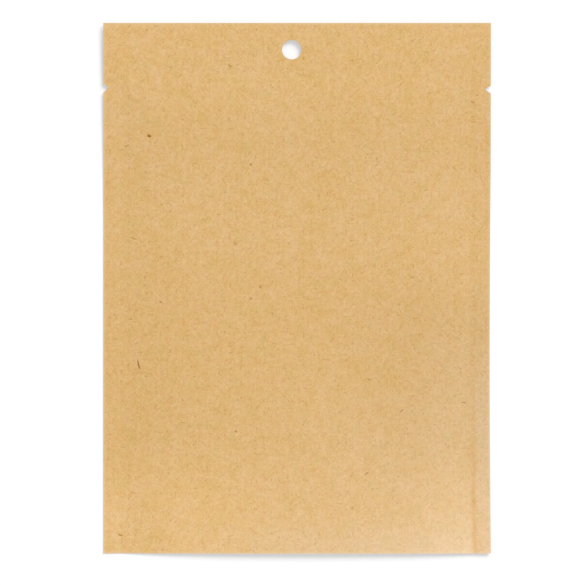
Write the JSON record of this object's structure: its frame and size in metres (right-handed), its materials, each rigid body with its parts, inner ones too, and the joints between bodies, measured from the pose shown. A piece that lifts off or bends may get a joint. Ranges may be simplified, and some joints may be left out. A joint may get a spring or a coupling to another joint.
{
  "type": "flat kraft paper pouch",
  "caption": "Flat kraft-paper pouch lying on its back, heat-sealed at the header and sides, with a round hang hole, tear notches and an open filling mouth.",
  "frame": {"origin": "centre of the pouch's footprint, on the surface it lies on", "axes": "+X across the pouch to its right side as seen from the front, +Y up to the header with the hang hole, +Z out of the front ply"},
  "size_m": [0.16, 0.219, 0.0026],
  "materials": {
    "kraft": "natural brown kraft, matte with a faint sheen"
  },
  "bodies": {
    "root": {"pouch": "kraft"}
  },
  "joints": []
}
